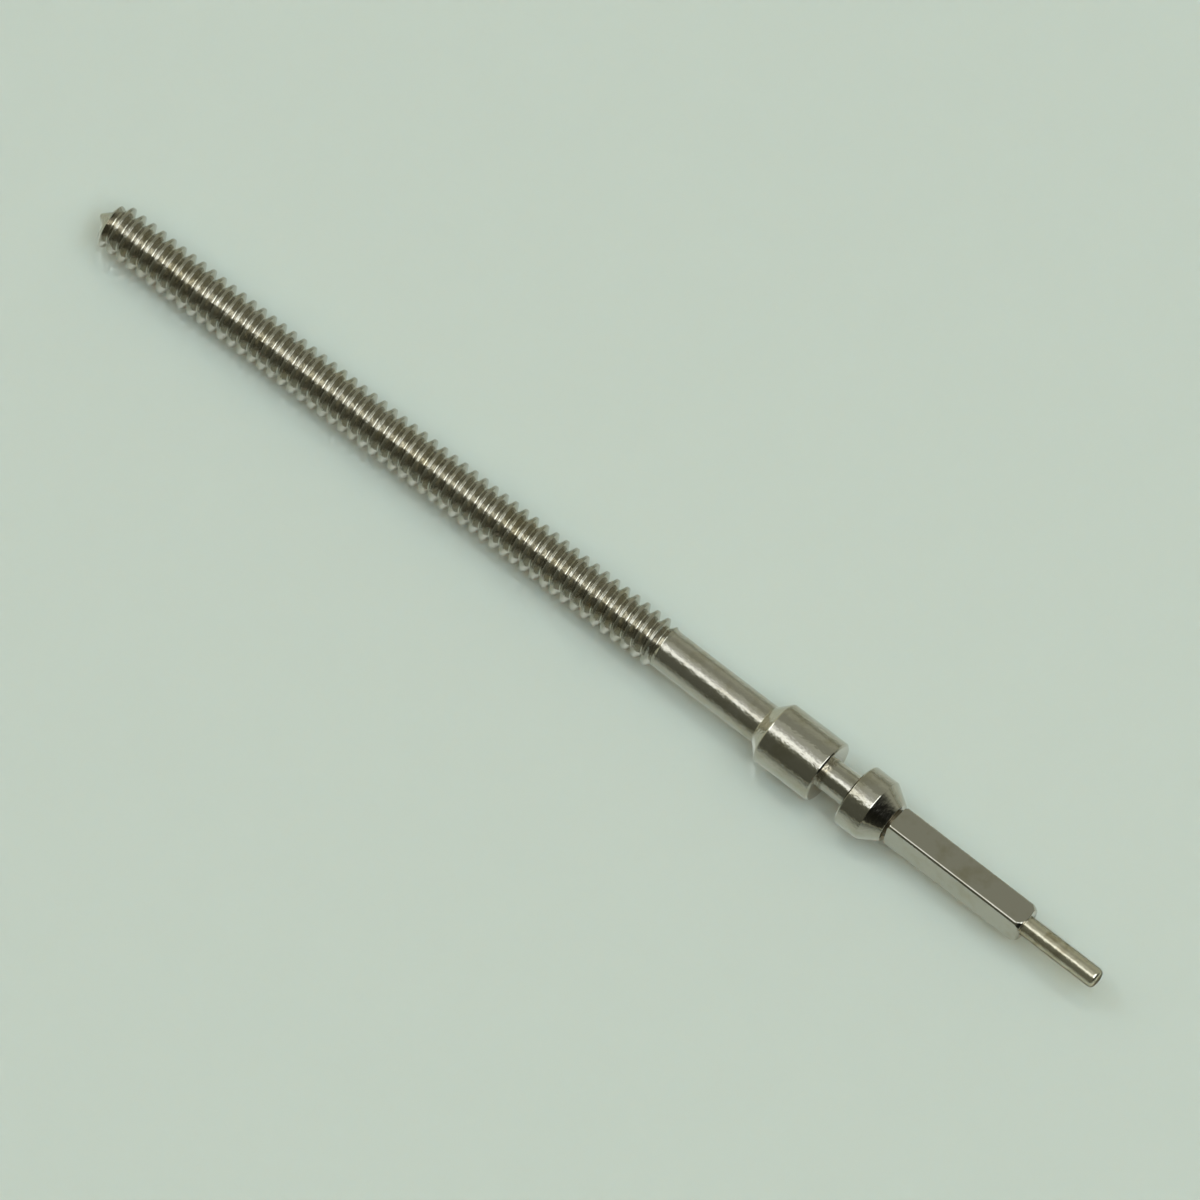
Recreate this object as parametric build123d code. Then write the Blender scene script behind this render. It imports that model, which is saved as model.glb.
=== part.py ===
from build123d import *
import math
import os

# A winding stem for a watch, turned in one piece from a steel bar. Lengths are in millimetres.
# The stem lies along X. The origin is on its axis, at the shoulder where the pivot leaves the
# square. The pivot points along +X and the crown's thread along -X.

# Thread for the crown, right-handed. The crest is a narrow round land, the root another.
thread_diameter = 0.90
thread_pitch = 0.225
thread_length = 12.31
thread_end_diameter = 0.70
flank_angle = 30
crest_land_share = 0.22
thread_depth_share = 0.56
last_crest_share = 0.65

# Cone left on the thread's end by the parting tool
tip_cone_diameter = 0.48
tip_cone_length = 0.23

# Neck between the thread and the bearing
neck_diameter = 0.76
neck_length = 2.275

# Bearing that runs in the movement's plate, with a cone at its back
bearing_diameter = 1.20
bearing_length = 1.165
bearing_chamfer = 0.035

# Slot for the setting lever's peg
slot_diameter = 0.60
slot_width = 0.61

# Hub that guides the winding pinion, with a cone down to the square
hub_diameter = 1.20
hub_length = 0.48
hub_chamfer = 0.03
hub_cone_length = 0.34
hub_nose_diameter = 0.76

# Relief cut between the hub's cone and the square
relief_width = 0.05
relief_depth = 0.01

# Square that drives the clutch wheel: a round turned to square_diameter, then four flats
square_diameter = 0.75
square_length = 2.88
square_flat_depth = 0.095
square_back_chamfer_length = 0.04
square_back_chamfer_depth = 0.03
square_front_chamfer_length = 0.10
square_front_chamfer_depth = 0.065
square_roll = -15

# Pivot at the inner end
pivot_diameter = 0.37
pivot_length = 1.57
pivot_chamfer = 0.05

# How far a cutting shape runs past what it cuts
overrun = 0.05
# The thread's hidden end inside the neck, as a share of the smaller of the two radii
core_share = 0.8

# Radii
crest_radius = thread_diameter / 2
thread_depth = thread_depth_share * thread_pitch
root_radius = crest_radius - thread_depth
neck_radius = neck_diameter / 2
core_radius = core_share * min(neck_radius, root_radius)
bearing_radius = bearing_diameter / 2
square_radius = square_diameter / 2
square_back_radius = square_radius - square_back_chamfer_depth
square_front_radius = square_radius - square_front_chamfer_depth
across_flats = square_diameter - 2 * square_flat_depth
relief_radius = across_flats / 2 - relief_depth
pivot_radius = pivot_diameter / 2

# Places along the axis, each worked out from the one before, from the pivot to the thread's tip
square_back = -square_length
hub_nose = square_back - relief_width
hub_front = hub_nose - hub_cone_length
hub_back = hub_front - hub_length
bearing_front = hub_back - slot_width
bearing_back = bearing_front - bearing_length
neck_front = bearing_back - (bearing_radius - neck_radius)
thread_front = neck_front - neck_length
thread_back = thread_front - thread_length
tip = thread_back - tip_cone_length

# Profile of one pitch of thread: root edge, crest, next root edge, then the root land
crest_land = crest_land_share * thread_pitch
flank_run = thread_depth * math.tan(math.radians(flank_angle))
profile = [
    (0, root_radius),
    (flank_run, crest_radius),
    (flank_run + crest_land, crest_radius),
    (2 * flank_run + crest_land, root_radius),
    (thread_pitch, root_radius),
]
# The thread is made longer than it is needed, in whole turns, and then trimmed at both ends.
turns_behind = math.ceil((thread_length + tip_cone_length) / thread_pitch) + 1
turns_ahead = math.ceil((crest_radius - core_radius) / thread_pitch) + 1
last_crest = thread_front - last_crest_share * thread_pitch
screw_start = last_crest - flank_run - crest_land / 2 - turns_behind * thread_pitch
screw_turns = turns_behind + turns_ahead


def turned(points):
    """Solid of revolution about X of a closed outline of (place, radius) points."""
    outline = Polyline(*[(x, 0, r) for x, r in points], close=True)
    return revolve(make_face(outline), axis=Axis.X)


def turn_edge(radius, start):
    """One turn of a right-handed helix about X."""
    return Edge.make_helix(thread_pitch, thread_pitch, radius, center=(start, 0, 0), normal=(1, 0, 0))


def screw_end(start):
    """The two faces that close the screw at one end: a helical ramp and one pitch of profile."""
    axis_line = Edge.make_line((start, 0, 0), (start + thread_pitch, 0, 0))
    ramp = Face.make_surface_from_curves(axis_line, turn_edge(root_radius, start))
    section = Polyline(*[(start + x, 0, r) for x, r in [(0, 0)] + profile + [(thread_pitch, 0)]], close=True)
    return [ramp, make_face(section).face()]


def screw():
    """Plain threaded rod, every turn bounded by a flank, the crest, a flank and the root."""
    faces = []
    for turn in range(screw_turns):
        start = screw_start + turn * thread_pitch
        edges = [turn_edge(radius, start + x) for x, radius in profile]
        faces += [Face.make_surface_from_curves(a, b) for a, b in zip(edges, edges[1:])]
    faces += screw_end(screw_start) + screw_end(screw_start + screw_turns * thread_pitch)
    return Solid(Shell(faces))


def threaded_end():
    """Screw trimmed to the cone and chamfer at its tip, and to a bevel inside the neck."""
    over = crest_radius + overrun
    envelope = turned([
        (tip, 0),
        (thread_back, tip_cone_diameter / 2),
        (thread_back, thread_end_diameter / 2),
        (thread_back + over - thread_end_diameter / 2, over),
        (thread_front - overrun, over),
        (thread_front + crest_radius - core_radius, core_radius),
        (thread_front + crest_radius - core_radius, 0),
    ])
    return screw() & envelope


def turned_body():
    """Neck, bearing, slot, hub and relief, down to the back of the square."""
    slot_radius = slot_diameter / 2
    hub_radius = hub_diameter / 2
    return turned([
        (thread_front - (neck_radius - core_radius), 0),
        (thread_front - (neck_radius - core_radius), core_radius),
        (thread_front, neck_radius),
        (neck_front, neck_radius),
        (bearing_back, bearing_radius),
        (bearing_front - bearing_chamfer, bearing_radius),
        (bearing_front, bearing_radius - bearing_chamfer),
        (bearing_front, slot_radius),
        (hub_back, slot_radius),
        (hub_back, hub_radius - hub_chamfer),
        (hub_back + hub_chamfer, hub_radius),
        (hub_front, hub_radius),
        (hub_nose, hub_nose_diameter / 2),
        (hub_nose, relief_radius),
        (square_back, relief_radius),
        (square_back, 0),
    ])


def square():
    """Round blank with coned ends and four flats, rolled about the stem's axis."""
    blank = turned([
        (square_back, 0),
        (square_back, square_back_radius),
        (square_back + square_back_chamfer_length, square_radius),
        (-square_front_chamfer_length, square_radius),
        (0, square_front_radius),
        (0, 0),
    ])
    flats = Box(square_length + 2 * overrun, across_flats, across_flats)
    return blank & Pos(-square_length / 2, 0, 0) * Rot(X=square_roll) * flats


def pivot():
    """Inner pivot with a broken edge."""
    return turned([
        (0, 0),
        (0, pivot_radius),
        (pivot_length - pivot_chamfer, pivot_radius),
        (pivot_length, pivot_radius - pivot_chamfer),
        (pivot_length, 0),
    ])


shank = turned_body() + square() + pivot()
winding_stem = threaded_end() + shank

os.makedirs("parts", exist_ok=True)
export_step(winding_stem, "parts/winding_stem.step")
print("tip", round(tip, 3), "thread", round(thread_back, 3), round(thread_front, 3))
print("bearing", round(bearing_back, 3), round(bearing_front, 3), "square", round(square_back, 3))
print("length", round(pivot_length - tip, 3), "volume", round(winding_stem.volume, 4))
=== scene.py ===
"""A watch's winding stem lying on a pale table in a small photo studio.

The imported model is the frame. The stem is one piece of steel there, and one dressed piece replaces
it here. Lengths in the classes are in millimetres unless a comment says otherwise. The stem lies
along X with its origin at the shoulder where the pivot leaves the square. The pivot points towards
positive X and the crown's thread towards negative X.
"""

import logging
import math
from dataclasses import dataclass, field
from enum import Enum
from typing import Any, Sequence

import bmesh
import bpy
from mathutils import Matrix, Vector


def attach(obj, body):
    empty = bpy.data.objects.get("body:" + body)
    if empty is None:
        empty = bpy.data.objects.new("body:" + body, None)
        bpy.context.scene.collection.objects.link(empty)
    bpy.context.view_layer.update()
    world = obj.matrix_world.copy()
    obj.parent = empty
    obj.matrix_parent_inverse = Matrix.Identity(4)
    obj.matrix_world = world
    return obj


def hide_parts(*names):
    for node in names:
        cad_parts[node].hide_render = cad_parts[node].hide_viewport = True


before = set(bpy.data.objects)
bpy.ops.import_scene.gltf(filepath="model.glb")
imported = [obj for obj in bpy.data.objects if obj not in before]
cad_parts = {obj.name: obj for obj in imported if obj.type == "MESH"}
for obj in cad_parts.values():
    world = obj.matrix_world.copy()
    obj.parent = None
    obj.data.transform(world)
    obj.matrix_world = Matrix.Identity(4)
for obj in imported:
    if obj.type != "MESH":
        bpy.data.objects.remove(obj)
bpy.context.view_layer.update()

log = logging.getLogger("watch_stem")

MM = 0.001
FULL_TURN = 2 * math.pi
FULL_TURN_DEGREES = 360
ORIGIN = (0.0, 0.0, 0.0)
STEM_AXIS = (1.0, 0.0, 0.0)
# Vertices nearer than this, in millimetres, are one vertex
WELD = 0.0004
# Vertices nearer than this to a plane that cuts the mesh lie on the plane
CUT_TOLERANCE = WELD / 4
# Decimals of a millimetre to which vertices are placed
DECIMALS = 6
# Bevel profile that makes a round
ROUND = 0.5

# The sRGB curve: a straight toe, and above it a power of the shifted value
TOE_END = 0.04045
TOE_SLOPE = 12.92
CURVE_SHIFT = 0.055
CURVE_POWER = 2.4
BRIGHTEST = 255

# Sockets of a node that mixes colours. Names won't do, because its other types use the same ones.
MIX_SHARE = 0
MIX_START = 6
MIX_END = 7
MIX_RESULT = 2

# Detail and roughness of the noise behind each pattern
PATCH_NOISE = {"Detail": 4.0, "Roughness": 0.6}
GRAIN_NOISE = {"Detail": 3.0, "Roughness": 0.6}
RING_NOISE = {"Detail": 3.0, "Roughness": 0.7}
WAVE_NOISE = {"Detail": 1.0, "Roughness": 0.5}
# Levels of the noise between which the brown film sets in, and between which the polish changes
STAIN_LEVELS = (0.5, 0.75)
POLISH_LEVELS = (0.3, 0.7)
# Patches of better and worse polish are this many grains wide
POLISH_PATCH = 4
# How many times a tool ring changes in a millimetre round the stem
RING_DRIFT = 1.5

Colour = tuple[float, float, float, float]
Span = tuple[float, float]


def linear(hex_colour: str) -> Colour:
    """Turns a colour written as sRGB hex into the linear values that shaders take.

    Args:
        hex_colour: six hex digits after a hash sign.

    Returns:
        Red, green, blue and an alpha of one.
    """
    digits = hex_colour.lstrip("#")
    parts = [int(digits[i:i + 2], 16) / BRIGHTEST for i in (0, 2, 4)]
    red, green, blue = [
        part / TOE_SLOPE if part <= TOE_END
        else ((part + CURVE_SHIFT) / (1 + CURVE_SHIFT)) ** CURVE_POWER
        for part in parts
    ]
    return red, green, blue, 1.0


def add_node(
    tree: bpy.types.NodeTree, kind: str, inputs: dict[Any, Any] | None = None, **settings: Any,
) -> bpy.types.Node:
    """Adds one node to a tree, with its settings, values and links.

    Args:
        tree: the node tree of a material or of the world.
        kind: the node's type name.
        inputs: socket name or number to a value, or to another node's output that is linked to it.
        settings: attributes of the node itself.

    Returns:
        The new node.
    """
    node = tree.nodes.new(kind)
    for name, value in settings.items():
        setattr(node, name, value)
    for key, value in (inputs or {}).items():
        if isinstance(value, bpy.types.NodeSocket):
            tree.links.new(value, node.inputs[key])
        else:
            node.inputs[key].default_value = value
    return node


def empty_tree(owner: bpy.types.Material | bpy.types.World) -> bpy.types.NodeTree:
    """Gives a material or the world a node tree with nothing in it.

    Args:
        owner: the material or the world.

    Returns:
        The empty tree.
    """
    owner.use_nodes = True
    owner.node_tree.nodes.clear()
    return owner.node_tree


def add_noise(
    tree: bpy.types.NodeTree, place: bpy.types.NodeSocket, size: float, character: dict[str, float],
) -> bpy.types.NodeSocket:
    """Adds a noise texture.

    Args:
        tree: the node tree.
        place: the coordinates.
        size: how large the patches of the noise are, in the unit of the coordinates.
        character: its detail and its roughness.

    Returns:
        The socket of its level, from 0 to 1.
    """
    inputs = {"Vector": place, "Scale": 1 / size, **character}
    return add_node(tree, "ShaderNodeTexNoise", inputs).outputs["Fac"]


def add_range(
    tree: bpy.types.NodeTree, value: bpy.types.NodeSocket, taken: Span, given: Span = (0.0, 1.0),
    **settings: Any,
) -> bpy.types.NodeSocket:
    """Adds a node that stretches one span of values to another and stops at its ends.

    Args:
        tree: the node tree.
        value: the socket of the value.
        taken: the span that is taken in.
        given: the span that it is stretched to.
        settings: attributes of the node itself.

    Returns:
        The socket of the result.
    """
    (low, high), (start, end) = taken, given
    return add_node(tree, "ShaderNodeMapRange", {
        "Value": value, "From Min": low, "From Max": high, "To Min": start, "To Max": end,
    }, **settings).outputs["Result"]


def add_math(
    tree: bpy.types.NodeTree, operation: str, first: Any, second: Any,
) -> bpy.types.NodeSocket:
    """Adds a node that works one value out of two.

    Args:
        tree: the node tree.
        operation: what it does with them.
        first: the first value, or its socket.
        second: the second value, or its socket.

    Returns:
        The socket of the result.
    """
    return add_node(tree, "ShaderNodeMath", {0: first, 1: second}, operation=operation).outputs[0]


def add_colour_mix(
    tree: bpy.types.NodeTree, share: bpy.types.NodeSocket, start: Any, end: Any,
) -> bpy.types.NodeSocket:
    """Adds a node that mixes two colours.

    Args:
        tree: the node tree.
        share: the socket of the second colour's share.
        start: the first colour, or its socket.
        end: the second colour, or its socket.

    Returns:
        The socket of the mixed colour.
    """
    inputs = {MIX_SHARE: share, MIX_START: start, MIX_END: end}
    return add_node(tree, "ShaderNodeMix", inputs, data_type="RGBA").outputs[MIX_RESULT]


def fill_ramp(node: bpy.types.Node, stops: Sequence[tuple[float, Colour]]) -> None:
    """Sets the stops of a colour ramp node.

    Args:
        node: the colour ramp node.
        stops: places from 0 to 1, in rising order, each with its colour.
    """
    elements = node.color_ramp.elements
    while len(elements) < len(stops):
        elements.new(1.0)
    for element, (place, colour) in zip(elements, stops):
        element.position = place
        element.color = colour


def put_in_scene(name: str, data: bpy.types.ID) -> bpy.types.Object:
    """Makes an object of a mesh, a lamp or a camera and links it to the scene.

    Args:
        name: the object's name.
        data: the mesh, lamp or camera.

    Returns:
        The object.
    """
    made = bpy.data.objects.new(name, data)
    bpy.context.scene.collection.objects.link(made)
    return made


def store(mesh: bmesh.types.BMesh, name: str) -> bpy.types.Mesh:
    """Stores a mesh under a name and frees its working copy.

    Args:
        mesh: the working copy.
        name: the stored mesh's name.

    Returns:
        The stored mesh.
    """
    stored = bpy.data.meshes.new(name)
    mesh.to_mesh(stored)
    mesh.free()
    return stored


class Zone(Enum):
    """Parts of the stem that were finished in different ways, numbered as material slots."""

    ROLLED = 0
    GROUND = 1
    TURNED = 2
    MILLED = 3
    WORN = 4
    OILED = 5
    CONED = 6


@dataclass(frozen=True)
class SteelFinish:
    """Bare carbon steel of a watch part, as one of the maker's tools left it.

    The colour is the steel's own warm grey; in the thread, the pivot and the relief groove it is
    changed as painted shade or light. Everything else that shows in it is reflected, so the
    roughness and the fine relief carry the look.
    """

    name: str
    colour: str = "#C7C0B6"
    stain: str = "#AFA58C"
    roughness: float = 0.12
    roughness_spread: float = 0.05
    # Rings left by the tool round the stem: how far apart, and how deep
    ring_spacing: float = 0.03
    ring_depth: float = 0.0001
    # Grain of the surface: how large, and how deep. On real steel it is too fine for a picture of
    # the whole stem, so it is drawn as coarse as it needs to show.
    grain_size: float = 0.04
    grain_depth: float = 0.0002
    # Long shallow waves that bend the edges of a reflection
    wave_size: float = 0.3
    wave_depth: float = 0.0005
    # Faint brown film that old oil leaves, in patches of this size, and how much of it there is
    stain_size: float = 0.5
    stain_share: float = 0.7
    # Share of the surface that a dull film hides, which lifts the dark reflections
    film: float = 0.0
    # Tint of what is reflected at a low angle; any tint darker than white is painted shade along the
    # outline
    outline_shade_tint: str = "#FFFFFF"

    def material(self) -> bpy.types.Material:
        """Makes the material.

        Returns:
            A material whose patterns follow the object's own coordinates.
        """
        made = bpy.data.materials.new(self.name)
        tree = empty_tree(made)
        place = add_node(tree, "ShaderNodeTexCoord").outputs["Object"]
        # From here on the coordinates are in millimetres, as the sizes of the patterns are
        in_mm = add_node(tree, "ShaderNodeMapping", {
            "Vector": place, "Scale": (1 / MM,) * 3,
        }).outputs["Vector"]
        steel = add_node(tree, "ShaderNodeBsdfPrincipled", {
            "Metallic": 1.0 - self.film,
            "Base Color": self.colour_pattern(tree, in_mm),
            "Roughness": self.roughness_pattern(tree, in_mm),
            "Normal": self.relief_pattern(tree, in_mm),
            "Specular Tint": linear(self.outline_shade_tint),
        })
        add_node(tree, "ShaderNodeOutputMaterial", {"Surface": steel.outputs["BSDF"]})
        return made

    def colour_pattern(
        self, tree: bpy.types.NodeTree, in_mm: bpy.types.NodeSocket,
    ) -> bpy.types.NodeSocket:
        """Bare steel with a faint film in soft patches.

        Args:
            tree: the material's node tree.
            in_mm: the coordinates in millimetres.

        Returns:
            The colour socket.
        """
        patches = add_noise(tree, in_mm, self.stain_size, PATCH_NOISE)
        film = add_range(tree, patches, STAIN_LEVELS, (0.0, self.stain_share))
        return add_colour_mix(tree, film, linear(self.colour), linear(self.stain))

    def roughness_pattern(
        self, tree: bpy.types.NodeTree, in_mm: bpy.types.NodeSocket,
    ) -> bpy.types.NodeSocket:
        """Polish that is better in some places than in others.

        Args:
            tree: the material's node tree.
            in_mm: the coordinates in millimetres.

        Returns:
            The roughness socket.
        """
        cloud = add_noise(tree, in_mm, POLISH_PATCH * self.grain_size, GRAIN_NOISE)
        smoothest = self.roughness - self.roughness_spread
        roughest = self.roughness + self.roughness_spread
        return add_range(tree, cloud, POLISH_LEVELS, (smoothest, roughest))

    def relief_pattern(
        self, tree: bpy.types.NodeTree, in_mm: bpy.types.NodeSocket,
    ) -> bpy.types.NodeSocket:
        """Tool rings, grain and long waves, each as its own bump.

        Args:
            tree: the material's node tree.
            in_mm: the coordinates in millimetres.

        Returns:
            The normal socket.
        """
        # Quick changes along the stem and slow ones round it
        stretched = add_node(tree, "ShaderNodeMapping", {
            "Vector": in_mm, "Scale": (1 / self.ring_spacing, RING_DRIFT, RING_DRIFT),
        }).outputs["Vector"]
        rings = add_noise(tree, stretched, 1.0, RING_NOISE)
        grain = add_noise(tree, in_mm, self.grain_size, GRAIN_NOISE)
        waves = add_noise(tree, in_mm, self.wave_size, WAVE_NOISE)
        normal = None
        for height, depth in (
            (waves, self.wave_depth), (grain, self.grain_depth), (rings, self.ring_depth),
        ):
            inputs = {"Height": height, "Distance": depth * MM, "Strength": 1.0}
            if normal:
                inputs["Normal"] = normal
            normal = add_node(tree, "ShaderNodeBump", inputs).outputs["Normal"]
        return normal


@dataclass(frozen=True)
class RolledFinish(SteelFinish):
    """Thread as the roller leaves it: a little duller than the rest, with a grain pressed in. Its
    steel is darker than the rest, as painted shade.
    """

    name: str = "rolled_thread_steel_painted_shade"
    # Darker than the other zones' steel: painted shade
    colour: str = "#BDB7AC"
    roughness: float = 0.15
    grain_size: float = 0.05
    grain_depth: float = 0.0030
    wave_size: float = 0.09
    wave_depth: float = 0.0050


@dataclass(frozen=True)
class GroundFinish(SteelFinish):
    """Neck, ground to the blank's size for rolling: a soft bright line with fine marks round it."""

    name: str = "ground_steel"
    roughness: float = 0.16
    film: float = 0.02
    grain_size: float = 0.055
    grain_depth: float = 0.0034
    ring_depth: float = 0.0005
    wave_size: float = 0.09
    wave_depth: float = 0.0052


@dataclass(frozen=True)
class TurnedFinish(SteelFinish):
    """Bearing, slot and hub, turned and then burnished: lively reflections over faint rings."""

    name: str = "burnished_turned_steel"
    roughness: float = 0.10
    roughness_spread: float = 0.03
    grain_size: float = 0.05
    grain_depth: float = 0.0024
    ring_depth: float = 0.0005
    wave_size: float = 0.10
    wave_depth: float = 0.0038


@dataclass(frozen=True)
class ConedFinish(TurnedFinish):
    """Cone of the hub, burnished smoother still: it mirrors the dark end of the room evenly."""

    name: str = "smooth_turned_steel"
    roughness: float = 0.08
    roughness_spread: float = 0.02
    grain_depth: float = 0.0010
    wave_depth: float = 0.0020


@dataclass(frozen=True)
class MilledFinish(SteelFinish):
    """Flats of the square, milled and lapped: an even sheen with hardly any marks."""

    name: str = "lapped_milled_steel"
    roughness: float = 0.11
    grain_size: float = 0.03
    grain_depth: float = 0.0008
    ring_depth: float = 0.00005
    wave_size: float = 0.15
    wave_depth: float = 0.0018


@dataclass(frozen=True)
class WornFinish(TurnedFinish):
    """Inner pivot: burnished, then dulled and browned by dried oil in patches. Its steel is lighter
    than the rest, as painted light on its highlight, and its outline is tinted dark brown as painted
    shade.
    """

    name: str = "oil_stained_steel_painted_light_and_shade"
    roughness: float = 0.19
    film: float = 0.05
    # Dark brown at low angles: painted shade along the pivot's outline
    outline_shade_tint: str = "#2B1E0B"
    # Lighter than the other zones' steel: painted light that brightens the highlight
    colour: str = "#DAD1BE"
    stain: str = "#A39270"
    stain_share: float = 0.8
    stain_size: float = 0.25


@dataclass(frozen=True)
class ShadedGrooveFinish(SteelFinish):
    """Relief groove between hub and square, dark brown and dull: painted shade for the shadow deep
    in the narrow groove.
    """

    name: str = "groove_painted_shade"
    # Dark brown colour and darker patches: painted shade in the groove
    colour: str = "#6A604E"
    stain: str = "#4C4232"
    roughness: float = 0.30
    film: float = 0.30


@dataclass(frozen=True)
class TableFinish:
    """Pale grey-green laminate, plain, whose shine darkens it where the dark room is mirrored.

    Light spreads a little way inside it, red furthest, so the stem's shadow is soft and warm.
    """

    name: str = "pale_laminate"
    colour: str = "#DBE1D9"
    roughness: float = 0.15
    shine: float = 0.9
    # Clear coat over it, which mirrors the dark side of the room where it is seen at a low angle
    coat: float = 1.0
    coat_roughness: float = 0.15
    # How far red, green and blue light spread inside, in millimetres
    spread: tuple[float, float, float] = (1.35, 1.0, 0.75)

    def material(self) -> bpy.types.Material:
        """Makes the material.

        Returns:
            A plain material without a pattern.
        """
        made = bpy.data.materials.new(self.name)
        tree = empty_tree(made)
        top = add_node(tree, "ShaderNodeBsdfPrincipled", {
            "Base Color": linear(self.colour),
            "Roughness": self.roughness,
            "Specular IOR Level": self.shine,
            "Subsurface Weight": 1.0,
            "Subsurface Radius": self.spread,
            "Subsurface Scale": MM,
            "Coat Weight": self.coat,
            "Coat Roughness": self.coat_roughness,
        }, subsurface_method="BURLEY")
        add_node(tree, "ShaderNodeOutputMaterial", {"Surface": top.outputs["BSDF"]})
        return made


@dataclass(frozen=True)
class Corner:
    """A corner of a turned outline, in millimetres.

    place is along the stem, radius from its axis, and rounding is how far the round of the corner
    reaches along each of its two sides.
    """

    place: float
    radius: float
    rounding: float = 0.0


def settle(mesh: bmesh.types.BMesh) -> None:
    """Rounds a mesh's vertices off and puts its parts in the order of their places.

    Some steps leave the parts in any order and the last digits to chance. This way every run gives
    the same mesh.

    Args:
        mesh: the mesh, in millimetres.
    """
    for vert in mesh.verts:
        vert.co = [round(part, DECIMALS) for part in vert.co]
    order = {vert: number for number, vert in enumerate(sorted(mesh.verts, key=lambda v: v.co[:]))}
    mesh.verts.sort(key=lambda vert: order[vert])
    mesh.verts.index_update()
    for parts in (mesh.edges, mesh.faces):
        ranked = sorted(parts, key=lambda part: sorted(vert.index for vert in part.verts))
        ranks = {part: number for number, part in enumerate(ranked)}
        parts.sort(key=lambda part: ranks[part])
        parts.index_update()


def weld(mesh: bmesh.types.BMesh) -> None:
    """Makes one vertex of those that lie together.

    Args:
        mesh: the mesh, in millimetres.
    """
    settle(mesh)
    bmesh.ops.remove_doubles(mesh, verts=mesh.verts[:], dist=WELD)
    settle(mesh)


def draw_outline(mesh: bmesh.types.BMesh, corners: Sequence[Corner], segments: int) -> None:
    """Draws a turned outline as a wire above the axis and rounds its corners.

    Args:
        mesh: the mesh that takes the wire, in millimetres.
        corners: the outline's corners in order.
        segments: how many straight pieces each round has.
    """
    verts = [mesh.verts.new((corner.place, 0.0, corner.radius)) for corner in corners]
    for start, end in zip(verts, verts[1:]):
        mesh.edges.new((start, end))
    for corner, vert in zip(corners, verts):
        if corner.rounding:
            bmesh.ops.bevel(
                mesh, geom=[vert], offset=corner.rounding, offset_type="OFFSET",
                segments=segments, profile=ROUND, affect="VERTICES", material=-1,
            )


def spin_round(mesh: bmesh.types.BMesh, steps: int) -> None:
    """Turns a wire outline once round the stem's axis and closes the seam and the poles.

    Args:
        mesh: a mesh that holds only the wire.
        steps: how many facets there are round the stem.
    """
    bmesh.ops.spin(
        mesh, geom=mesh.verts[:] + mesh.edges[:], cent=ORIGIN, axis=STEM_AXIS, dvec=ORIGIN,
        angle=FULL_TURN, steps=steps, use_merge=True, use_duplicate=False,
    )
    weld(mesh)


def open_rim(mesh: bmesh.types.BMesh, low: float, high: float) -> list[bmesh.types.BMEdge]:
    """Finds the open edges of a mesh between two places along the stem.

    Args:
        mesh: the mesh, in millimetres.
        low: the lower place.
        high: the higher place.

    Returns:
        The boundary edges whose middles lie between them.
    """
    return [
        edge for edge in mesh.edges
        if edge.is_boundary and low < sum(vert.co.x for vert in edge.verts) / 2 < high
    ]


def area_normals(mesh: bmesh.types.BMesh) -> list[Vector]:
    """Finds a shading normal for each vertex, in which every face counts by its area.

    Long faces keep their own normals this way, and the narrow rounds between them take the turn.

    Args:
        mesh: the finished mesh, in millimetres.

    Returns:
        One normal for each vertex.
    """
    areas = {face: face.calc_area() for face in mesh.faces}
    return [
        sum((face.normal * areas[face] for face in vert.link_faces), Vector()).normalized()
        for vert in mesh.verts
    ]


def share_between(place: float, low: float, high: float) -> float:
    """How far a place is from low to high, from 0 to 1, eased at both ends."""
    share = min(max((place - low) / (high - low), 0.0), 1.0)
    return share * share * (3 - 2 * share)


def mix(start: float, end: float, share: float) -> float:
    """The value at a share of the way from start to end."""
    return start + (end - start) * share


def move_to_radius(vert: bmesh.types.BMVert, radius: float) -> None:
    """Moves a vertex straight out from or in to the stem's axis.

    Args:
        vert: the vertex, off the axis.
        radius: how far from the axis it goes.
    """
    now = math.hypot(vert.co.y, vert.co.z)
    vert.co.y *= radius / now
    vert.co.z *= radius / now


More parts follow.
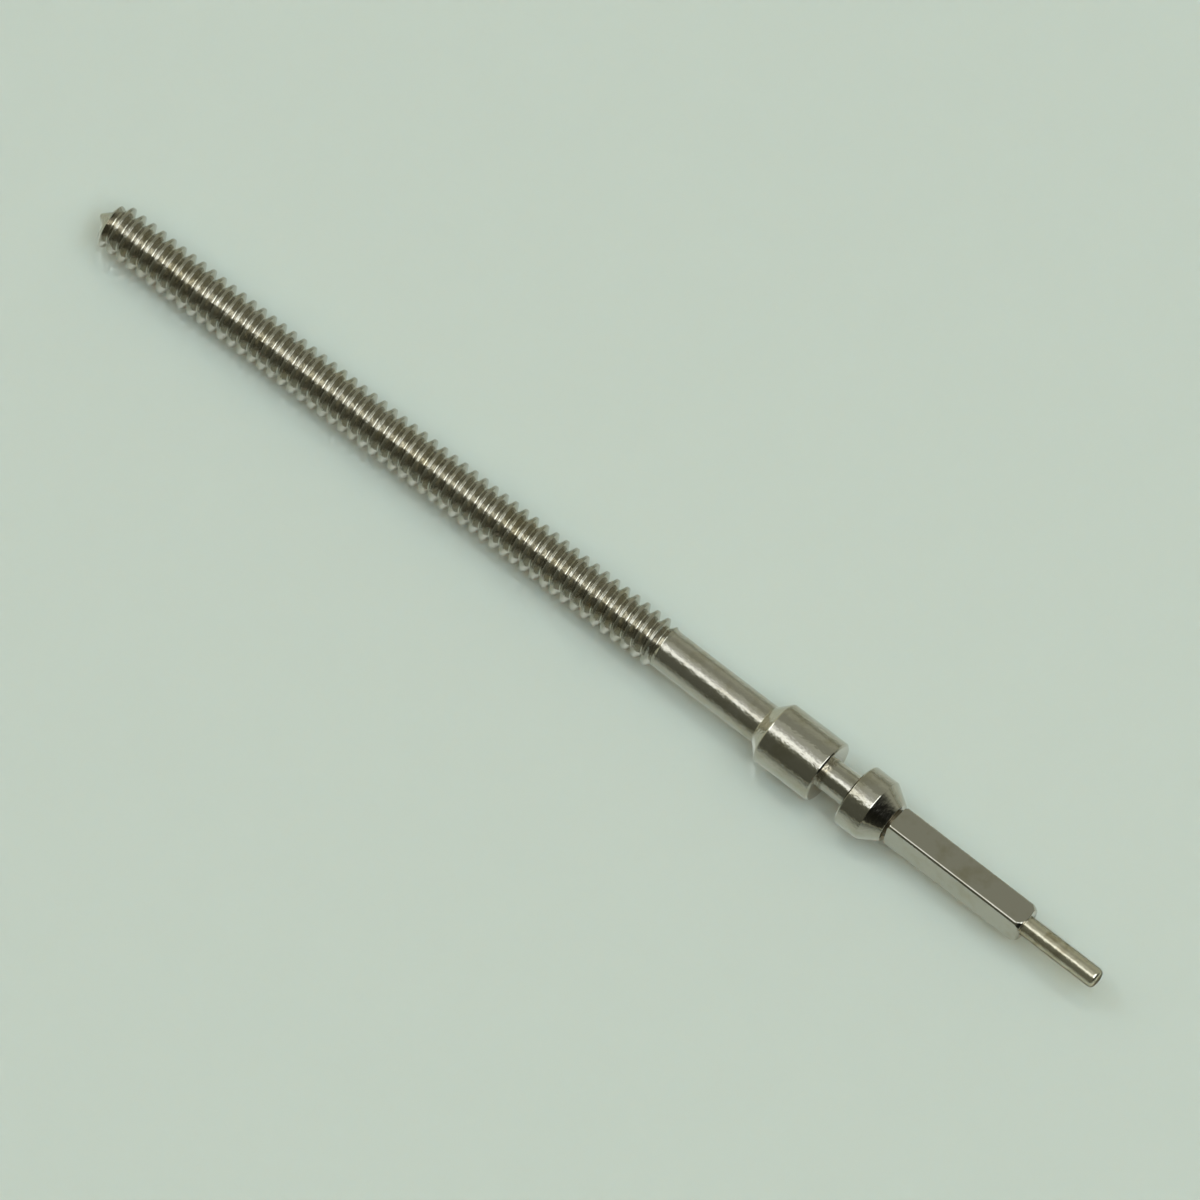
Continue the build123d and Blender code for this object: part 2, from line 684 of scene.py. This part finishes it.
@dataclass
class CrownThread:
    """Rolled thread that takes the crown, with its end chamfer and its run-out into the neck."""

    back: float = -20.33
    front: float = -8.02
    diameter: float = 0.90
    pitch: float = 0.225
    end_diameter: float = 0.70
    flank_angle: float = 30.0
    crest_land_share: float = 0.22
    depth_share: float = 0.56
    # Where the last full crest stands above the axis, in pitches behind the front
    last_crest_share: float = 0.65
    # Turns that are wound on from the last full crest, for the run-out
    turns_past: int = 2
    crest_rounding: float = 0.006
    root_rounding: float = 0.014
    segments: int = 3
    steps: int = 64
    # The crest falls to the neck, and the root rises to it, between these places from the front
    crest_fades: Span = (-0.06, 0.08)
    root_fades: Span = (-0.03, 0.06)
    neck_diameter: float = 0.76
    # Plain stretch of neck that the thread's mesh ends with
    neck_lead: float = 0.02

    @property
    def neck_start(self) -> float:
        """Place where the thread has died out and the plain neck begins."""
        return self.front + max(self.crest_fades[1], self.root_fades[1]) + self.neck_lead

    def tooth(self, middle: float) -> list[Corner]:
        """One pitch of the thread's outline, from root to root.

        Args:
            middle: place of the crest's middle.

        Returns:
            The corners of the outline.
        """
        crest = self.diameter / 2
        depth = self.depth_share * self.pitch
        land = self.crest_land_share * self.pitch / 2
        foot = land + depth * math.tan(math.radians(self.flank_angle))
        root = crest - depth
        return [
            Corner(middle - self.pitch / 2, root),
            Corner(middle - foot, root, self.root_rounding),
            Corner(middle - land, crest, self.crest_rounding),
            Corner(middle + land, crest, self.crest_rounding),
            Corner(middle + foot, root, self.root_rounding),
            Corner(middle + self.pitch / 2, root),
        ]

    def build(self) -> bmesh.types.BMesh:
        """Winds one tooth into the whole thread and trims both ends.

        Returns:
            The thread as a tube that is open at both ends.
        """
        last_crest = self.front - self.last_crest_share * self.pitch
        turns_behind = math.ceil((self.front - self.back) / self.pitch) + 1
        mesh = bmesh.new()
        draw_outline(mesh, self.tooth(last_crest - turns_behind * self.pitch), self.segments)
        bmesh.ops.spin(
            mesh, geom=mesh.verts[:] + mesh.edges[:], cent=ORIGIN, axis=STEM_AXIS,
            dvec=(self.pitch / self.steps, 0.0, 0.0), angle=FULL_TURN, steps=self.steps,
            use_merge=False, use_duplicate=False,
        )
        one_turn = mesh.verts[:] + mesh.edges[:] + mesh.faces[:]
        for turn in range(1, turns_behind + self.turns_past):
            copied = bmesh.ops.duplicate(mesh, geom=one_turn)
            moved = [part for part in copied["geom"] if isinstance(part, bmesh.types.BMVert)]
            bmesh.ops.translate(mesh, vec=(turn * self.pitch, 0.0, 0.0), verts=moved)
        weld(mesh)
        for place, outward in ((self.back, -1.0), (self.neck_start, 1.0)):
            bmesh.ops.bisect_plane(
                mesh, geom=mesh.verts[:] + mesh.edges[:] + mesh.faces[:], dist=CUT_TOLERANCE,
                plane_co=(place, 0.0, 0.0), plane_no=(outward, 0.0, 0.0), clear_outer=True,
            )
        settle(mesh)
        self.finish_ends(mesh)
        return mesh

    def finish_ends(self, mesh: bmesh.types.BMesh) -> None:
        """Turns the chamfer at the tip and lets the thread die out into the neck.

        Args:
            mesh: the trimmed thread.
        """
        neck = self.neck_diameter / 2
        crest = self.diameter / 2
        depth = self.depth_share * self.pitch
        for vert in mesh.verts:
            chamfer = self.end_diameter / 2 + vert.co.x - self.back
            radius = min(math.hypot(vert.co.y, vert.co.z), chamfer)
            place = vert.co.x - self.front
            if place > self.crest_fades[0]:
                height = (radius - crest + depth) / depth
                low = mix(crest - depth, neck, share_between(place, *self.root_fades))
                high = mix(crest, neck, share_between(place, *self.crest_fades))
                radius = mix(low, high, height)
            move_to_radius(vert, radius)


@dataclass
class PartingCone:
    """Small cone that the parting tool leaves on the thread's end, with a soft point."""

    back: float = -20.33
    diameter: float = 0.48
    length: float = 0.23
    rim_diameter: float = 0.60
    # The blunt point's radius as a share of the cone's, and the rounds at the point and the foot
    point_share: float = 0.13
    point_rounding: float = 0.025
    foot_rounding: float = 0.02
    segments: int = 4
    steps: int = 64

    def build(self) -> bmesh.types.BMesh:
        """Turns the cone and the flat disc round its foot.

        Returns:
            A cap that is open at the disc's rim.
        """
        radius = self.diameter / 2
        tip = self.back - self.length
        mesh = bmesh.new()
        draw_outline(mesh, [
            Corner(tip, 0.0),
            Corner(tip, self.point_share * radius, self.point_rounding),
            Corner(self.back, radius, self.foot_rounding),
            Corner(self.back, self.rim_diameter / 2),
        ], self.segments)
        spin_round(mesh, self.steps)
        return mesh


@dataclass
class TurnedBody:
    """Everything that the lathe leaves in front of the thread, from the neck to the pivot."""

    neck_diameter: float = 0.76
    neck_front: float = -5.745
    bearing_diameter: float = 1.20
    bearing_back: float = -5.525
    bearing_front: float = -4.36
    bearing_chamfer: float = 0.035
    slot_diameter: float = 0.60
    hub_diameter: float = 1.20
    hub_back: float = -3.75
    hub_chamfer: float = 0.03
    hub_front: float = -3.27
    hub_nose: float = -2.93
    hub_nose_diameter: float = 0.76
    relief_diameter: float = 0.54
    square_back: float = -2.88
    blank_diameter: float = 0.75
    blank_back_diameter: float = 0.69
    blank_back_cone: float = 0.04
    blank_front_diameter: float = 0.62
    blank_front_cone: float = 0.10
    pivot_diameter: float = 0.37
    pivot_end: float = 1.57
    # How far the corners are rounded: sharp feet and edges, broken edges, blended ones, and three
    # that have a size of their own
    sharp_round: float = 0.006
    relief_round: float = 0.008
    broken_round: float = 0.010
    blended_round: float = 0.012
    bearing_round: float = 0.025
    blank_round: float = 0.050
    pivot_round: float = 0.080
    segments: int = 3
    steps: int = 96

    def outline(self, start: float) -> list[Corner]:
        """The lathe's outline from the neck to the pivot's end.

        Args:
            start: place where the neck begins.

        Returns:
            The corners of the outline.
        """
        neck = self.neck_diameter / 2
        bearing = self.bearing_diameter / 2
        slot = self.slot_diameter / 2
        hub = self.hub_diameter / 2
        relief = self.relief_diameter / 2
        blank = self.blank_diameter / 2
        pivot = self.pivot_diameter / 2
        return [
            Corner(start, neck),
            Corner(self.neck_front, neck, self.blended_round),
            Corner(self.bearing_back, bearing, self.bearing_round),
            Corner(self.bearing_front - self.bearing_chamfer, bearing, self.broken_round),
            Corner(self.bearing_front, bearing - self.bearing_chamfer, self.broken_round),
            Corner(self.bearing_front, slot, self.sharp_round),
            Corner(self.hub_back, slot, self.sharp_round),
            Corner(self.hub_back, hub - self.hub_chamfer, self.sharp_round),
            Corner(self.hub_back + self.hub_chamfer, hub, self.sharp_round),
            Corner(self.hub_front, hub, self.blended_round),
            Corner(self.hub_nose, self.hub_nose_diameter / 2, self.broken_round),
            Corner(self.hub_nose, relief, self.blended_round),
            Corner(self.square_back, relief, self.relief_round),
            Corner(self.square_back, self.blank_back_diameter / 2, self.sharp_round),
            Corner(self.square_back + self.blank_back_cone, blank, self.blended_round),
            Corner(-self.blank_front_cone, blank, self.blank_round),
            Corner(0.0, self.blank_front_diameter / 2, self.broken_round),
            Corner(0.0, pivot, self.blended_round),
            Corner(self.pivot_end, pivot, self.pivot_round),
            Corner(self.pivot_end, 0.0),
        ]

    def build(self, start: float) -> bmesh.types.BMesh:
        """Turns the body.

        Args:
            start: place where the neck begins.

        Returns:
            The body, open at the neck.
        """
        mesh = bmesh.new()
        draw_outline(mesh, self.outline(start), self.segments)
        spin_round(mesh, self.steps)
        return mesh


@dataclass
class ClutchSquare:
    """Four flats that the clutch wheel slides on, milled on the turned blank."""

    back: float = -2.88
    front: float = 0.0
    sides: int = 4
    across_flats: float = 0.56
    # How far the square is rolled about the stem from level, in degrees
    roll: float = -15.0
    corner_radius: float = 0.06
    corner_facets: int = 6
    # Edges that turn by more than this many degrees are softened
    sharp_degrees: float = 25.0
    edge_rounding: float = 0.006
    edge_segments: int = 2

    def mill(self, mesh: bmesh.types.BMesh) -> None:
        """Cuts the flats and rounded corners into the blank and softens the flats' ends.

        Args:
            mesh: the turned body, which is changed.
        """
        bmesh.ops.recalc_face_normals(mesh, faces=mesh.faces[:])
        cuts = self.sides * (self.corner_facets + 1)
        angles = [FULL_TURN_DEGREES * number / cuts for number in range(cuts)]
        filled = sum(self.cut(mesh, degrees) for degrees in angles)
        log.info("square: %d cuts, %d faces filled", cuts, filled)
        sharp = [
            edge for edge in mesh.edges
            if all(self.back + WELD < vert.co.x < self.front + WELD for vert in edge.verts)
            and edge.is_manifold and edge.calc_face_angle() > math.radians(self.sharp_degrees)
        ]
        bmesh.ops.bevel(
            mesh, geom=sharp, offset=self.edge_rounding, offset_type="OFFSET",
            segments=self.edge_segments, profile=ROUND, affect="EDGES", clamp_overlap=True,
            material=-1,
        )

    def cut(self, mesh: bmesh.types.BMesh, degrees: float) -> int:
        """Cuts off what lies outside one plane of the square and closes the cut.

        Args:
            mesh: the turned body, which is changed.
            degrees: angle round the stem from the first flat to the plane.

        Returns:
            How many faces close the cut.
        """
        past_flat = math.radians(degrees % (FULL_TURN_DEGREES / self.sides))
        core = self.across_flats / 2 - self.corner_radius
        reach = core * (math.cos(past_flat) + math.sin(past_flat)) + self.corner_radius
        angle = math.radians(self.roll + degrees)
        outward = Vector((0.0, -math.sin(angle), math.cos(angle)))
        faces = [
            face for face in mesh.faces
            if self.back - WELD < face.calc_center_median().x < self.front + WELD
        ]
        # Each part once, and in the mesh's own order as in a list
        near = dict.fromkeys(part for face in faces for part in (*face.verts, *face.edges))
        made = bmesh.ops.bisect_plane(
            mesh, geom=[*faces, *near], dist=CUT_TOLERANCE, plane_co=outward * reach,
            plane_no=outward, clear_outer=True,
        )
        rim = [
            part for part in made["geom_cut"]
            if isinstance(part, bmesh.types.BMEdge) and part.is_boundary
        ]
        made = bmesh.ops.contextual_create(mesh, geom=rim)
        filled = len(made["faces"])
        settle(mesh)
        return filled


@dataclass
class WindingStem:
    """The whole stem: one piece of steel, so one closed mesh."""

    name: str = "dressed_winding_stem"
    node: str = "winding_stem"
    material_slot: str = "polished_steel"
    thread: CrownThread = field(default_factory=CrownThread)
    cone: PartingCone = field(default_factory=PartingCone)
    body: TurnedBody = field(default_factory=TurnedBody)
    square: ClutchSquare = field(default_factory=ClutchSquare)
    # Gap between the meshes of thread and body, both plain neck there, which is bridged
    seam: float = 0.02
    finishes: dict[Zone, SteelFinish] = field(default_factory=lambda: {
        Zone.ROLLED: RolledFinish(), Zone.GROUND: GroundFinish(), Zone.TURNED: TurnedFinish(),
        Zone.MILLED: MilledFinish(), Zone.WORN: WornFinish(), Zone.OILED: ShadedGrooveFinish(),
        Zone.CONED: ConedFinish(),
    })

    def zone(self, place: float) -> Zone:
        """Which finish the stem has at a place along it.

        Args:
            place: the place, in millimetres.

        Returns:
            The zone of that finish.
        """
        if place < self.thread.neck_start:
            return Zone.ROLLED
        if place < self.body.neck_front:
            return Zone.GROUND
        if self.square.back < place < self.square.front:
            return Zone.MILLED
        if self.body.hub_nose + WELD < place < self.square.back:
            return Zone.OILED
        if self.body.hub_front < place < self.body.hub_nose:
            return Zone.CONED
        return Zone.WORN if place > self.square.front else Zone.TURNED

    def join(self) -> bmesh.types.BMesh:
        """Builds the sections and joins them.

        Returns:
            One closed mesh, in millimetres.
        """
        thread = self.thread.build()
        body = self.body.build(self.thread.neck_start + self.seam)
        self.square.mill(body)
        whole = bmesh.new()
        for part in (self.cone.build(), thread, body):
            section = store(part, "section")
            whole.from_mesh(section)
            bpy.data.meshes.remove(section)
        middle = (self.thread.back + self.thread.front) / 2
        for low, high in ((-math.inf, middle), (middle, math.inf)):
            bmesh.ops.bridge_loops(whole, edges=open_rim(whole, low, high))
        weld(whole)
        bmesh.ops.recalc_face_normals(whole, faces=whole.faces[:])
        return whole

    def build(self) -> bpy.types.Object:
        """Makes the stem's object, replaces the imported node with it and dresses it.

        Returns:
            The dressed piece.
        """
        whole = self.join()
        for face in whole.faces:
            face.smooth = True
            face.material_index = self.zone(face.calc_center_median().x).value
        log.info("open edges: %d", sum(not edge.is_manifold for edge in whole.edges))
        normals = area_normals(whole)
        bmesh.ops.scale(whole, vec=(MM,) * 3, verts=whole.verts[:])
        mesh = store(whole, self.name)
        mesh.normals_split_custom_set_from_vertices(normals)
        for zone in Zone:
            mesh.materials.append(self.finishes[zone].material())
        piece = put_in_scene(self.name, mesh)
        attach(piece, "root")
        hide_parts(self.node)
        return piece


@dataclass
class Table:
    """Plain pale table, tilted a little: the stem lies on its thread's tip and its bearing."""

    name: str = "table_top"
    size: float = 3000.0
    # Place along the stem and height of the two points that the stem rests on
    tip_contact: Span = (-20.3, -0.45)
    bearing_contact: Span = (-5.525, -0.60)

    def build(self) -> bpy.types.Object:
        """Makes the table top under the stem.

        Returns:
            The table.
        """
        (tip_place, tip_height), (place, height) = self.tip_contact, self.bearing_contact
        slope = (height - tip_height) / (place - tip_place)
        top = bmesh.new()
        bmesh.ops.create_grid(top, x_segments=1, y_segments=1, size=self.size / 2)
        for vert in top.verts:
            vert.co.z = tip_height + slope * (vert.co.x - tip_place)
        bmesh.ops.scale(top, vec=(MM,) * 3, verts=top.verts[:])
        mesh = store(top, self.name)
        mesh.materials.append(TableFinish().material())
        table = put_in_scene(self.name, mesh)
        return table


@dataclass
class Softbox:
    """Soft lamp above the stem, to one side along it. It lights the table.

    In the steel it shows as the bright lines on the edges that face that side.
    """

    name: str
    # Direction from the stem. The sizes, the distance and the point aimed at are in metres.
    toward: tuple[float, float, float]
    length: float
    width: float
    radiance: float
    distance: float = 0.6
    aim: tuple[float, float, float] = (-0.0094, 0.0, 0.0)
    colour: str = "#F4FFFF"

    def build(self) -> bpy.types.Object:
        """Hangs the softbox and aims it at the middle of the stem.

        Returns:
            The lamp.
        """
        lamp = bpy.data.lights.new(self.name, "AREA")
        lamp.shape = "RECTANGLE"
        lamp.size, lamp.size_y = self.length, self.width
        lamp.energy = self.radiance * math.pi * self.length * self.width
        lamp.color = linear(self.colour)[:3]
        hung = put_in_scene(self.name, lamp)
        # The lamp shines along its own negative Z, and its own X follows the stem
        back = Vector(self.toward).normalized()
        side = (Vector(STEM_AXIS) - back * back.x).normalized()
        turn = Matrix((side, back.cross(side), back)).transposed().to_4x4()
        hung.matrix_world = Matrix.Translation(Vector(self.aim) + back * self.distance) @ turn
        hung.visible_camera = False
        return hung


@dataclass(frozen=True)
class Sky:
    """The room round the table, by direction: what the steel reflects besides the softboxes.

    The bands run parallel to the stem. Each is an angle in degrees, from the front horizon over
    the top to the back horizon, a level, and how warm its light is, from 0 to 1.
    """

    name: str = "studio_room"
    bands: tuple[tuple[float, float, float], ...] = (
        (-180.0, 0.60, 1.0), (0.0, 0.60, 1.0), (2.0, 0.09, 1.0), (20.0, 0.105, 1.0),
        (50.0, 0.11, 1.0), (60.0, 0.18, 1.0), (65.0, 0.45, 0.5), (70.5, 1.50, 0.0),
        (78.0, 1.75, 0.0), (84.0, 1.10, 0.0), (91.0, 0.64, 0.2), (100.0, 0.48, 0.4),
        (114.0, 0.50, 0.6), (119.0, 0.31, 0.7), (140.0, 0.31, 0.7), (150.0, 0.36, 0.8),
        (160.0, 0.41, 0.8), (173.0, 0.38, 0.8), (176.0, 0.22, 1.0), (178.5, 0.22, 1.0),
        (179.8, 0.60, 1.0),
    )
    cool: tuple[float, float, float] = (0.93, 1.0, 0.97)
    warm: tuple[float, float, float] = (0.93, 1.0, 0.75)
    # Levels of the two ends of the room, behind the crown's thread and beyond the pivot
    thread_end: float = 0.60
    pivot_end: float = 0.012
    # A direction's part along the stem, and its part upwards, over which the ends take over
    end_reach: Span = (0.55, 0.80)
    end_foot: Span = (0.03, 0.10)

    def build(self) -> bpy.types.World:
        """Makes the world.

        Returns:
            The world, set on the scene.
        """
        world = bpy.data.worlds.new(self.name)
        tree = empty_tree(world)
        way = add_node(tree, "ShaderNodeTexCoord").outputs["Generated"]
        split = add_node(tree, "ShaderNodeSeparateXYZ", {"Vector": way})
        front = add_math(tree, "MULTIPLY", split.outputs["Y"], -1.0)
        angle = add_math(tree, "ARCTAN2", split.outputs["Z"], front)
        ramp = add_node(tree, "ShaderNodeValToRGB", {
            "Fac": add_range(tree, angle, (-math.pi, math.pi)),
        })
        fill_ramp(ramp, [
            ((degrees + FULL_TURN_DEGREES / 2) / FULL_TURN_DEGREES, self.light(level, warmth))
            for degrees, level, warmth in self.bands
        ])
        room = ramp.outputs["Color"]
        above = add_range(
            tree, split.outputs["Z"], self.end_foot, interpolation_type="SMOOTHSTEP",
        )
        for level, side in ((self.thread_end, -1.0), (self.pivot_end, 1.0)):
            reach = (self.end_reach[0] * side, self.end_reach[1] * side)
            aside = add_range(tree, split.outputs["X"], reach, interpolation_type="SMOOTHSTEP")
            share = add_math(tree, "MULTIPLY", aside, above)
            room = add_colour_mix(tree, share, room, self.light(level, 1.0))
        light = add_node(tree, "ShaderNodeBackground", {"Color": room, "Strength": 1.0})
        add_node(tree, "ShaderNodeOutputWorld", {"Surface": light.outputs["Background"]})
        bpy.context.scene.world = world
        return world

    def light(self, level: float, warmth: float) -> Colour:
        """Mixes the colour of some light.

        Args:
            level: how bright it is.
            warmth: share of the warm colour in it, from 0 to 1.

        Returns:
            The linear colour.
        """
        red, green, blue = [
            level * mix(cool, warm, warmth) for cool, warm in zip(self.cool, self.warm)
        ]
        return red, green, blue, 1.0


@dataclass(frozen=True)
class PhotographCamera:
    """Long lens, high and to the right of the stem, as in the photograph."""

    name: str = "photograph_camera"
    azimuth: float = 39.516
    elevation: float = 68.6
    distance: float = 390.0
    aim: tuple[float, float, float] = (-9.383, -0.026, 0.0)
    focal_length: float = 683.4
    sensor_width: float = 36.0
    # Nearest and furthest that it sees, in metres
    clip: Span = (0.01, 10.0)

    def build(self) -> bpy.types.Object:
        """Sets the camera up and makes it the scene's own.

        Returns:
            The camera.
        """
        turn, rise = math.radians(self.azimuth), math.radians(self.elevation)
        back = Vector((
            math.sin(turn) * math.cos(rise), -math.cos(turn) * math.cos(rise), math.sin(rise),
        ))
        lens = bpy.data.cameras.new(self.name)
        lens.sensor_width = self.sensor_width
        lens.lens = self.focal_length
        lens.clip_start, lens.clip_end = self.clip
        camera = put_in_scene(self.name, lens)
        camera.location = (Vector(self.aim) + back * self.distance) * MM
        camera.rotation_mode = "QUATERNION"
        camera.rotation_quaternion = (-back).to_track_quat("-Z", "Y")
        bpy.context.scene.camera = camera
        return camera


def main() -> None:
    """Builds the stem, the table, the light and the camera."""
    logging.basicConfig(level=logging.INFO, format="%(name)s: %(message)s")
    stem = WindingStem().build()
    log.info("%s: %d faces", stem.name, len(stem.data.polygons))
    log.info("table: %s", Table().build().name)
    for softbox in (
        Softbox(
            "right_softbox", toward=(0.49, 0.10, 0.86), length=0.30, width=0.52, radiance=2.6,
        ),
        Softbox(
            "left_softbox", toward=(-0.55, -0.06, 0.83), length=0.20, width=0.24, radiance=3.0,
        ),
    ):
        log.info("softbox: %s", softbox.build().name)
    log.info("room: %s", Sky().build().name)
    log.info("camera: %s", PhotographCamera().build().name)
    bpy.context.scene.view_settings.view_transform = "Standard"


if __name__ == "__main__":
    main()
